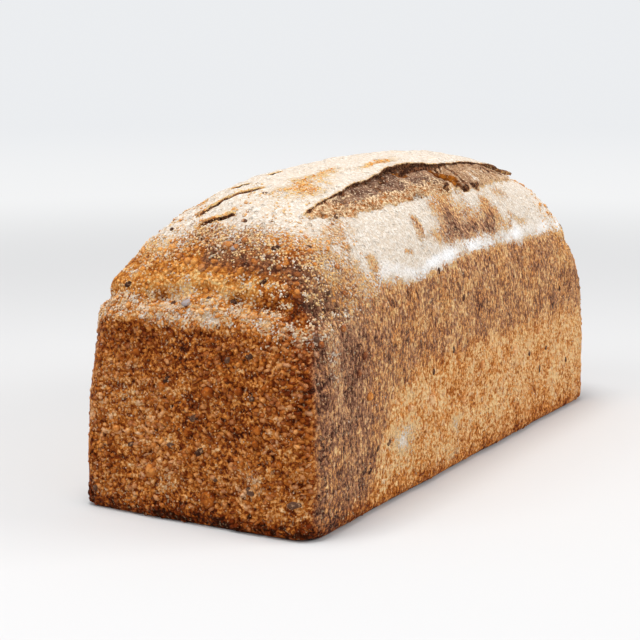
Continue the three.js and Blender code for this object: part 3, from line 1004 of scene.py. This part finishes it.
def on_shoulders(grid, sign):
    out = (SHOULDER_FOOT[0] - SHOULDER_LEAN * grid[:, 1]) * sign
    return np.stack([out, grid[:, 0], SHOULDER_FOOT[1] + grid[:, 1]], axis=1)


def on_ends(grid, sign):
    return np.stack([np.full(len(grid), END_START * sign), grid[:, 0], grid[:, 1]], axis=1)


def grain_piece(name, chance, starts, size, turn, lighter):
    """Half-sunk grains at the starts, coloured from the crust around them."""
    normals = outward(starts)
    shares = crust_shares(starts, normals)
    plain = (shares["flour"] < 0.5) & (shares["burnt"] < 0.15) & (shares["torn"] < 0.1)
    shares = {share: values[plain] for share, values in shares.items()}
    starts, normals = starts[plain], normals[plain]
    places = worked(starts, normals)
    count = len(starts)
    shape, base = ball_copies(count, 1)
    sizes = np.array(size) * chance.uniform(0.55, 1.35, (count, 3))
    turns = chance.uniform(-turn, turn, count)
    sunk = places - normals * sizes[:, 2:3] * GRAIN_SUNK
    set_places(shape, standing_on(sunk, normals, UPRIGHT, base, sizes, turns))
    shares["bake"] = np.clip(shares["bake"] - chance.uniform(*lighter, count), 0.0, 1.0)
    shares["warm"] = np.clip(shares["warm"] - chance.uniform(0.0, 0.4, count), 0.0, 1.0)
    shares["grain"] = shares["grain"] + 1.0
    finished(name, shape, baked_crust, with_painted_foot_shade(shares, base, GRAIN_FOOT_SHADE))


def with_painted_foot_shade(shares, base, depth):
    """Shares for every vertex of every copy, with painted shade on each copy's foot: a darker bake and
    less flour where it meets the crust.
    """
    shares = {share: np.repeat(values, len(base)) for share, values in shares.items()}
    # Painted shade: the lower corners of each copy, towards the crust, are darkened and lose flour.
    foot_shade = np.tile(np.clip(0.75 - base[:, 2], 0.0, 1.1), len(shares["bake"]) // len(base))
    shares["bake"] = np.clip(shares["bake"] + depth * foot_shade, 0.0, 1.0)
    shares["flour"] = shares["flour"] * (1.0 - 0.6 * np.minimum(foot_shade, 1.0))
    return shares


chance = np.random.default_rng(11)
starts = sown(chance, (-49, 49), (3, 86), FLAKE_SPACING, on_ends)
starts = starts[lumps(starts, 9.0, 102) > -0.15]
grain_piece("bran_flakes", chance, starts, FLAKE_SIZE, 0.7, (-0.08, 0.3))
starts = sown(chance, (-48, 48), (10, 60), SHOULDER_SPACING, on_shoulders)
starts = starts[lumps(starts, 6.0, 97) > -0.05]
grain_piece("shoulder_grains", chance, starts, SHOULDER_SIZE, 1.5, (-0.05, 0.3))
starts = sown(chance, (-131, 131), (3, 88), GRAIN_SPACING, on_walls)
crowding = lumps(starts, 5.0, 98) + 0.5
starts = starts[chance.uniform(-0.5, 1.0, len(starts)) < crowding]
grain_piece("upright_grains", chance, starts, GRAIN_SIZE, 0.6, (-0.04, 0.36))


# ---- Blisters -----------------------------------------------------------------------------------
# Small round blisters where steam lifted the crust, thin and more orange than what surrounds
# them, mostly on the shoulders of the two ends; a few larger ones stand on the shown walls.

PLACED_BLISTERS = [
    ((-124, -15, 94), 2.1), ((-123, -19, 95), 1.4), ((-124, 2, 94), 1.7), ((-123, 6, 96), 1.8),
    ((-123, 9, 96), 1.7), ((-120, 17, 99), 2.1), ((-122, 13, 97), 1.4), ((-122, -20, 97), 1.2),
    ((-125, -6, 91), 1.0), ((-127, -32, 86), 1.2), ((-123, -38, 88), 1.4), ((-127, -1, 86), 1.5),
    ((-130, -2, 79), 1.6), ((-130, 30, 78), 1.5), ((-118, -6, 101), 2.4), ((-116, -12, 103), 1.5),
    ((-137, 18, 18), 3.0), ((-135, -7, 50), 3.2), ((-135, 14, 50), 2.0), ((-137, -8, 11), 3.6),
    ((-136, -38, 28), 1.6), ((-136, -29, 39), 1.9), ((-136, -28, 34), 1.7), ((-136, 34, 32), 2.0),
    ((-134, 26, 62), 1.8), ((-134, -20, 52), 1.9), ((-132, 10, 70), 1.8), ((-136, 2, 34), 1.6),
    ((-95, -53, 46), 2.4), ((-42, -53, 34), 3.0), ((-103, -53, 56), 1.6), ((-103, -46, 85), 1.6),
    ((-124, -48, 70), 1.5), ((-98, -53, 62), 1.6), ((-60, -53, 34), 1.8), ((-110, -50, 74), 1.6),
    ((-12, -53, 28), 2.2), ((42, -53, 40), 2.2), ((6, -53, 40), 2.0), ((70, -53, 44), 1.8),
]
BLISTER_SHAPE = (1.0, 0.88, 0.8)
BLISTER_SUNK = 0.15
# How much darker the foot of each blister is painted, as shade.
BLISTER_FOOT_SHADE = 0.36
blister_chance = np.random.default_rng(23)
spots = [centre for centre, size in PLACED_BLISTERS]
reaches = [size for centre, size in PLACED_BLISTERS]
for sign, count in ((-1, 66), (1, 80)):
    drawn = blister_chance.uniform((96, -46, 84), (130, 46, 108), (count, 3))
    spots.extend(drawn * np.array([sign, 1, 1]))
    reaches.extend(blister_chance.uniform(0.5, 1.5, count))
starts = pushed_out(np.array(spots, dtype=float))
normals = outward(starts)
blisters, base = ball_copies(len(starts), 2)
widths = np.array(reaches)[:, None]
sizes = widths * blister_chance.uniform(0.85, 1.15, (len(starts), 3)) * np.array(BLISTER_SHAPE)
turns = blister_chance.uniform(-1.5, 1.5, len(starts))
places = worked(starts, normals) - normals * sizes[:, 2:3] * BLISTER_SUNK
places = standing_on(places, normals, NEARLY_UPRIGHT, base, sizes, turns)
set_places(blisters, dented(places, widths, 0.06, 1.1, (90, 91, 92)))
shares = crust_shares(starts, normals)
on_wall = ease(np.abs(normals[:, 1]), 0.6, 0.8)
on_crown = ease(starts[:, 2], 78, 90)
around = blend(shares["bake"], 0.38, 0.6 * on_crown) - 0.02 * on_crown
shares["bake"] = around - blister_chance.uniform(-0.03, 0.1, len(starts))
mellow = blister_chance.uniform(0.85, 1.0, len(starts)) - 0.35 * on_crown
shares["warm"] = blend(mellow, 0.62, on_wall)
shares["flour"] = 0.6 * shares["flour"]
shares["grain"] = shares["grain"] + 1.0
finished("blisters", blisters, baked_crust, with_painted_foot_shade(shares, base, BLISTER_FOOT_SHADE))


# ---- Seeds --------------------------------------------------------------------------------------
# Whole seeds, mostly three to four millimetres long, pressed into the dough and baked in until
# their backs show. Their skins are nearly black brown, dull and a little dusty; two are pale.

PLACED_SEEDS = [
    ((-125, -25, 91), 1.9), ((-129, 13, 82), 1.9), ((-129, 5, 82), 2.9), ((-128, -13, 84), 1.8),
    ((-119, -9, 101), 1.8), ((-116, -25, 102), 1.7), ((-108, -34, 102), 1.6), ((-110, -8, 110), 1.6),
    ((-93, -6, 118), 1.4), ((-133, -24, 65), 2.0), ((-134, -15, 63), 1.8), ((-135, 12, 53), 2.1),
    ((-135, -26, 50), 1.4), ((-136, -1, 40), 2.1), ((-136, 27, 27), 1.6), ((-136, 9, 29), 1.9),
    ((-136, -4, 28), 2.5), ((-137, -26, 16), 2.5), ((-136, -44, 14), 2.8), ((-137, -11, 18), 1.2),
    ((-125, -47, 72), 1.8), ((-10, -51, 71), 1.9), ((-21, -52, 51), 1.7), ((-39, -52, 45), 1.6),
    ((-78, -53, 24), 1.9), ((-99, -53, 18), 2.0), ((-94, -53, 17), 1.9), ((-88, -53, 24), 1.5),
    ((60, -53, 35), 1.8), ((74, -53, 25), 1.8), ((81, -53, 34), 1.5), ((106, -53, 24), 1.7),
    ((89, -52, 54), 1.5), ((-31, -50, 85), 1.7), ((-40, -51, 74), 1.7),
    ((-112, -46, 88), 1.5), ((-127, 45, 73), 1.8), ((-127, 32, 86), 1.7), ((-112, 23, 105), 1.8),
    ((-136, 44, 8), 1.9), ((20, -50, 84), 1.4), ((98, -53, 60), 1.4), ((-62, -52, 62), 1.3),
    ((-83, -31, 110), 1.7), ((-129, -4, 84), 1.5),
]
PALE_SEEDS = [(-129, 5, 82), (-119, -9, 101)]
SEED_SHAPE = (1.0, 0.6, 0.42)
SEED_TAPER = 0.25
SEED_SUNK = 0.25
seed_chance = np.random.default_rng(31)
spots = [centre for centre, size in PLACED_SEEDS]
reaches = [size for centre, size in PLACED_SEEDS]
spots.extend(seed_chance.uniform((110, -46, 8), (136, 50, 90), (34, 3)))
spots.extend(seed_chance.uniform((-120, 40, 8), (120, 54, 100), (46, 3)))
reaches.extend(seed_chance.uniform(1.2, 2.3, len(spots) - len(PLACED_SEEDS)))
starts = pushed_out(np.array(spots, dtype=float))
normals = outward(starts)
seeds, base = ball_copies(len(starts), 2)
base[:, 1] *= 1.0 - SEED_TAPER * base[:, 0]
widths = np.array(reaches)[:, None]
sizes = widths * seed_chance.uniform(0.85, 1.15, (len(starts), 3)) * np.array(SEED_SHAPE)
turns = seed_chance.uniform(-0.7, 0.7, len(starts)) + 1.2 * (np.abs(normals[:, 1]) > 0.7)
places = worked(starts, normals) - normals * sizes[:, 2:3] * SEED_SUNK
places = standing_on(places, normals, NEARLY_UPRIGHT, base, sizes, turns)
set_places(seeds, dented(places, widths, 0.13, 0.9, (93, 94, 95)))
DARK_COAT = ((0.045, 0.015, 0.007, 1), (0.105, 0.048, 0.028, 1))
PALE_COAT = (0.40, 0.34, 0.33, 1)
COAT_DUST = (0.42, 0.24, 0.13, 1)
COAT_BUMP = 0.0004
coat = Finish(bpy.data.materials.new("seed_coat"))
place = coat.node("ShaderNodeTexCoord", {}, {})["Object"]
mottle = coat.node("ShaderNodeTexNoise", {}, {"Vector": place, "Scale": 900.0, "Detail": 3.0})["Fac"]
tint = coat.node("ShaderNodeTexNoise", {}, {"Vector": place, "Scale": 60.0, "Detail": 1.0})["Fac"]
dark = coat.mixed(tint.between(0.4, 0.6), *DARK_COAT)
dark = coat.mixed(coat.share("paleness") * 0.9, dark, PALE_COAT)
dusty = coat.mixed(mottle.between(0.52, 0.75), dark, COAT_DUST)
sockets = {"Height": mottle, "Distance": COAT_BUMP, "Strength": 0.7}
dents = coat.node("ShaderNodeBump", {}, sockets)["Normal"]
sockets = {"Base Color": dusty, "Roughness": 0.55, "Specular IOR Level": 0.08, "Normal": dents}
shader = coat.node("ShaderNodeBsdfPrincipled", {}, sockets)["BSDF"]
coat.node("ShaderNodeOutputMaterial", {}, {"Surface": shader})
paleness = seed_chance.uniform(0.0, 0.35, len(starts))
paleness[: len(PLACED_SEEDS)] = [float(centre in PALE_SEEDS) for centre, size in PLACED_SEEDS]
finished("dark_seeds", seeds, coat.material, {"paleness": np.repeat(paleness, len(base))})


# ---- Free tip of the ear ------------------------------------------------------------------------
# Towards the hidden end the lip of crust has come loose and stands off the crown as a thin
# burnt tongue. It is the same crust, baked hard, and it grows out of the lip's edge.

TIP_LENGTH = 29.0
TIP_START = 71.0
TIP_WIDTH = 2.6
TIP_CELLS = (72, 8, 3)
tip = box_of_cells(TIP_LENGTH, TIP_WIDTH, 1.0, TIP_CELLS)
flat = coordinates(tip)
share = flat[:, 0] / TIP_LENGTH + 0.5
along = TIP_START + share * TIP_LENGTH
across = np.interp(along, SLASH_ALONG, LIP_ACROSS) - 0.2 + flat[:, 1] * (1.0 - 0.45 * share**3)
inside = np.stack([along, across, np.full(len(along), 60.0)], axis=1)
root = on_crust(inside, np.array(UPRIGHT))
normals = outward(root)
ragged = 0.5 * lumps(root, 4.0, 61) + 0.35 * lumps(root, 1.8, 62)
lift = 0.1 + 1.1 * ease(share, 0.4, 1.0)
lower = blend(-0.9, lift, ease(share, 0.62, 1.0))
waist = 0.4 * np.exp(-(((share - 0.66) / 0.12) ** 2))
upper = lift + 0.85 * ease(share, 0.0, 0.2) - waist + 0.3 * ease(share, 0.8, 0.95)
height = blend(lower, upper, flat[:, 2]) + 0.3 * ragged
frayed = np.stack([0.0 * share, -0.9 * ragged - 0.5, 0.0 * share], axis=1)
set_places(tip, root + normals * height[:, None] + frayed)
shares = crust_shares(root, normals)
shares["torn"] = 0.0 * share
dusted = (flat[:, 2] > 0.7) * (flat[:, 1] > 0.2) * (1.0 - ease(share, 0.3, 0.6))
shares["burnt"] = 0.66 + 0.3 * ragged - 0.66 * dusted
shares["flour"] = 0.9 * dusted
bmesh.ops.recalc_face_normals(tip, faces=tip.faces)
shares = {share: np.clip(values, 0.0, 1.0) for share, values in shares.items()}
finished("ear_tip", tip, baked_crust, shares)


# ---- Crumbs and flour ---------------------------------------------------------------------------
# Fine grains that stuck to the crust and baked on: golden crumb along the torn border, flour
# caked in clumps on the shoulders and along the crease, toasted crumbs where the crown's flour
# is thin, and pale dust on the walls and the ends.

# How much darker the foot of each crumb is painted, as shade.
CRUMB_FOOT_SHADE = 0.3
GRAINS_IN_CLUSTER = 10
CLUSTER_SPREAD = 0.75
crumb_chance = np.random.default_rng(41)


def granules(name, starts, size, changes):
    """Small round grains baked onto the crust at the starts."""
    normals = outward(starts)
    count = len(starts)
    shape, base = ball_copies(count, 1)
    sizes = size * crumb_chance.uniform(0.45, 1.3, (count, 1))
    sizes = sizes * crumb_chance.uniform(0.7, 1.2, (count, 3))
    places = worked(starts, normals)
    turns = crumb_chance.uniform(-1.5, 1.5, count)
    set_places(shape, standing_on(places, normals, NEARLY_UPRIGHT, base, sizes, turns))
    shares = crust_shares(starts, normals)
    for share, value in changes.items():
        shares[share] = 0.0 * shares[share] + value
    finished(name, shape, baked_crust, with_painted_foot_shade(shares, base, CRUMB_FOOT_SHADE))


def strewn(low, high, count, mirrored=0, axis=0):
    """Random places in a box, the first of them mirrored to the other side of the loaf."""
    places = crumb_chance.uniform(low, high, (count, 3))
    places[:mirrored, axis] *= -1
    return places


def picked(places, likely):
    """The places that chance picks, each as likely as its share says."""
    return places[crumb_chance.uniform(0, 1, len(places)) < likely]


starts = pushed_out(strewn((-98, -44, 95), (88, -24, 125), 9000))
opening, past_lip, width = slash_place(starts, outward(starts))
edge = np.exp(-((((past_lip / width) - 0.88) / 0.17) ** 2)) * (1.0 - ease(starts[:, 0], -4, 14))
edge = edge * np.clip(0.55 + 1.5 * lumps(starts, 6.0, 96), 0.0, 1.0)
edge = np.maximum(edge, 0.3 * (past_lip > 3) * (past_lip / width < 1) * (starts[:, 0] < -66))
kept = picked(starts, edge * opening * (past_lip > 1.5))
granules("torn_crumbs", kept, 0.72, {"torn": 1.0, "crumb": 1.0, "burnt": 0.0, "orange": 0.0})

starts = pushed_out(strewn((80, -50, 74), (134, 50, 112), 40000, mirrored=26000))
flour = baked(starts, outward(starts))["flour"]
above = above_crease(starts[:, 1], starts[:, 2])
clustered = ease(lumps(starts, 6.0, 99), -0.2, 0.4)
likely = 0.6 * flour * (1.0 - ease(flour, 0.5, 0.9))
likely += clustered * (0.12 * ease(above, -9.0, -4.0) + 0.3 * np.exp(-((above / 4.5) ** 2)))
loose = picked(starts, 0.8 * likely)
middles = pushed_out(strewn((104, -48, 70), (136, 48, 106), 1500, mirrored=1000))
above = above_crease(middles[:, 1], middles[:, 2])
clustered = ease(lumps(middles, 8.0, 103), -0.3, 0.3)
middles = picked(middles, 0.06 + 0.9 * np.exp(-(((above + 3.0) / 4.5) ** 2)) * clustered)
caked = np.repeat(middles, GRAINS_IN_CLUSTER, axis=0)
caked = pushed_out(caked + crumb_chance.normal(0.0, CLUSTER_SPREAD, caked.shape))
pale = crumb_chance.uniform(0.35, 0.85, len(loose) + len(caked))
pale[len(loose):] += 0.15
changes = {"flour": pale, "torn": 0.0, "burnt": 0.0, "bake": 0.0, "warm": 0.35, "grain": 1.0}
granules("flour_clumps", np.concatenate([loose, caked]), 0.46, changes)

starts = pushed_out(strewn((-112, -24, 104), (20, 30, 128), 14000))
normals = outward(starts)
bare = 1.0 - crust_shares(starts, normals)["flour"]
likely = 0.75 * ease(bare, 0.28, 0.66) * (slash_place(starts, normals)[1] < -2.0)
for split in SHORT_SPLITS:
    openness, across = split_place(starts, split)
    likely = likely * ((openness < 0.05) | (np.abs(across) > SPLIT_REACH))
kept = picked(starts, likely)
toasted = crumb_chance.uniform(0.0, 0.22, len(kept))
thin = crumb_chance.uniform(0.15, 0.65, len(kept))
granules("crown_crumbs", kept, 0.5, {"flour": thin, "bake": toasted, "warm": 0.8, "grain": 1.0})

ends = strewn((138, -50, 4), (139, 50, 84), 2400, mirrored=1200)
sides = strewn((-132, 53, 4), (132, 54, 86), 6400, mirrored=3200, axis=1)
starts = pushed_out(np.concatenate([ends, sides]))
starts = starts[lumps(starts, 7.0, 101) > -0.25]
pale = crumb_chance.uniform(0.25, 0.75, len(starts))
granules("dust_grains", starts, 0.34, {"flour": pale, "bake": 0.12})


# ---- Floor, light and camera --------------------------------------------------------------------
# A pale seamless floor under a large soft light from above, and the camera at the photograph's
# viewing angle: low, and turned towards the corner between the end wall and the long side.

FLOOR_RADIUS = 14.0
floor_shape = bmesh.new()
bmesh.ops.create_circle(floor_shape, cap_ends=True, radius=FLOOR_RADIUS, segments=96)
floor_mesh = bpy.data.meshes.new("floor")
floor_shape.to_mesh(floor_mesh)
floor_shape.free()
floor = bpy.data.objects.new("floor", floor_mesh)
bpy.context.scene.collection.objects.link(floor)

PALE = (0.835, 0.85, 0.87)
FLOOR_MATT = (0.66, 0.655, 0.65, 1)
FLOOR_GLOW = (0.90, 0.905, 0.91, 1)
AIR_ABOVE = (0.42, 0.43, 0.45, 1)
floor_finish = Finish(bpy.data.materials.new("pale_floor"))
from_middle = floor_finish.node("ShaderNodeTexCoord", {}, {})["Object"]
distance = floor_finish.node("ShaderNodeVectorMath", {"operation": "LENGTH"}, {0: from_middle})["Value"]
matt = floor_finish.node("ShaderNodeBsdfDiffuse", {}, {"Color": FLOOR_MATT})["BSDF"]
glow = floor_finish.mixed(distance.between(0.9, 2.6), FLOOR_GLOW, (*PALE, 1))
faded = floor_finish.node("ShaderNodeEmission", {}, {"Color": glow, "Strength": 1.0})["Emission"]
mixed = floor_finish.node("ShaderNodeMixShader", {}, {0: distance.between(0.3, 1.15), 1: matt, 2: faded})
floor_finish.node("ShaderNodeOutputMaterial", {}, {"Surface": mixed[0]})
floor_mesh.materials.append(floor_finish.material)

world = bpy.data.worlds.new("studio")
bpy.context.scene.world = world
room = Finish(world)
way = room.node("ShaderNodeTexCoord", {}, {})["Generated"]
height = room.node("ShaderNodeSeparateXYZ", {}, {"Vector": way})["Z"]
air = room.mixed(height.between(0.12, 0.7), (*PALE, 1), AIR_ABOVE)
lit = room.node("ShaderNodeBackground", {}, {"Color": air, "Strength": 1.0})["Background"]
room.node("ShaderNodeOutputWorld", {}, {"Surface": lit})


def soft_light(name, place, target, size, watts):
    """A rectangular lamp at a place, turned towards its target."""
    lamp = bpy.data.lights.new(name, "AREA")
    lamp.shape = "RECTANGLE"
    lamp.size, lamp.size_y = size
    lamp.energy = watts
    holder = bpy.data.objects.new(name, lamp)
    holder.location = place
    holder.rotation_euler = (Vector(target) - Vector(place)).to_track_quat("-Z", "Y").to_euler()
    bpy.context.scene.collection.objects.link(holder)


soft_light("overhead", (-0.2, 0.05, 1.2), (0, 0, 0.06), (0.5, 0.5), 10.0)
soft_light("end_fill", (-0.95, 0.45, 0.95), (-0.1, 0, 0.08), (0.6, 0.6), 4.2)
soft_light("side_fill", (0.6, -1.3, 0.7), (0, 0, 0.06), (0.9, 0.7), 12.0)

TURN = math.radians(-60.29)
PITCH = math.radians(10.14)
DISTANCE = 0.6955
FOCAL_PIXELS = 1600.0
FRAME_PIXELS = 640.0
AIM = Vector((0.0, 0.0, 0.0636))
AIM_PIXEL = (365.87, 301.42)
SENSOR = 36.0
level = math.cos(PITCH)
look = Vector((-math.sin(TURN) * level, math.cos(TURN) * level, -math.sin(PITCH)))
right = Vector((math.cos(TURN), math.sin(TURN), 0.0))
up = right.cross(look)
sideways = (AIM_PIXEL[0] - FRAME_PIXELS / 2) / FOCAL_PIXELS * DISTANCE
upwards = (FRAME_PIXELS / 2 - AIM_PIXEL[1]) / FOCAL_PIXELS * DISTANCE
lens = bpy.data.cameras.new("camera")
lens.sensor_width = SENSOR
lens.lens = FOCAL_PIXELS * SENSOR / FRAME_PIXELS
camera = bpy.data.objects.new("camera", lens)
stand = AIM - right * sideways - up * upwards - look * DISTANCE
facing = Matrix((right, up, -look)).transposed().to_4x4()
camera.matrix_world = Matrix.Translation(stand) @ facing
bpy.context.scene.collection.objects.link(camera)
bpy.context.scene.camera = camera
bpy.context.scene.view_settings.view_transform = "Standard"
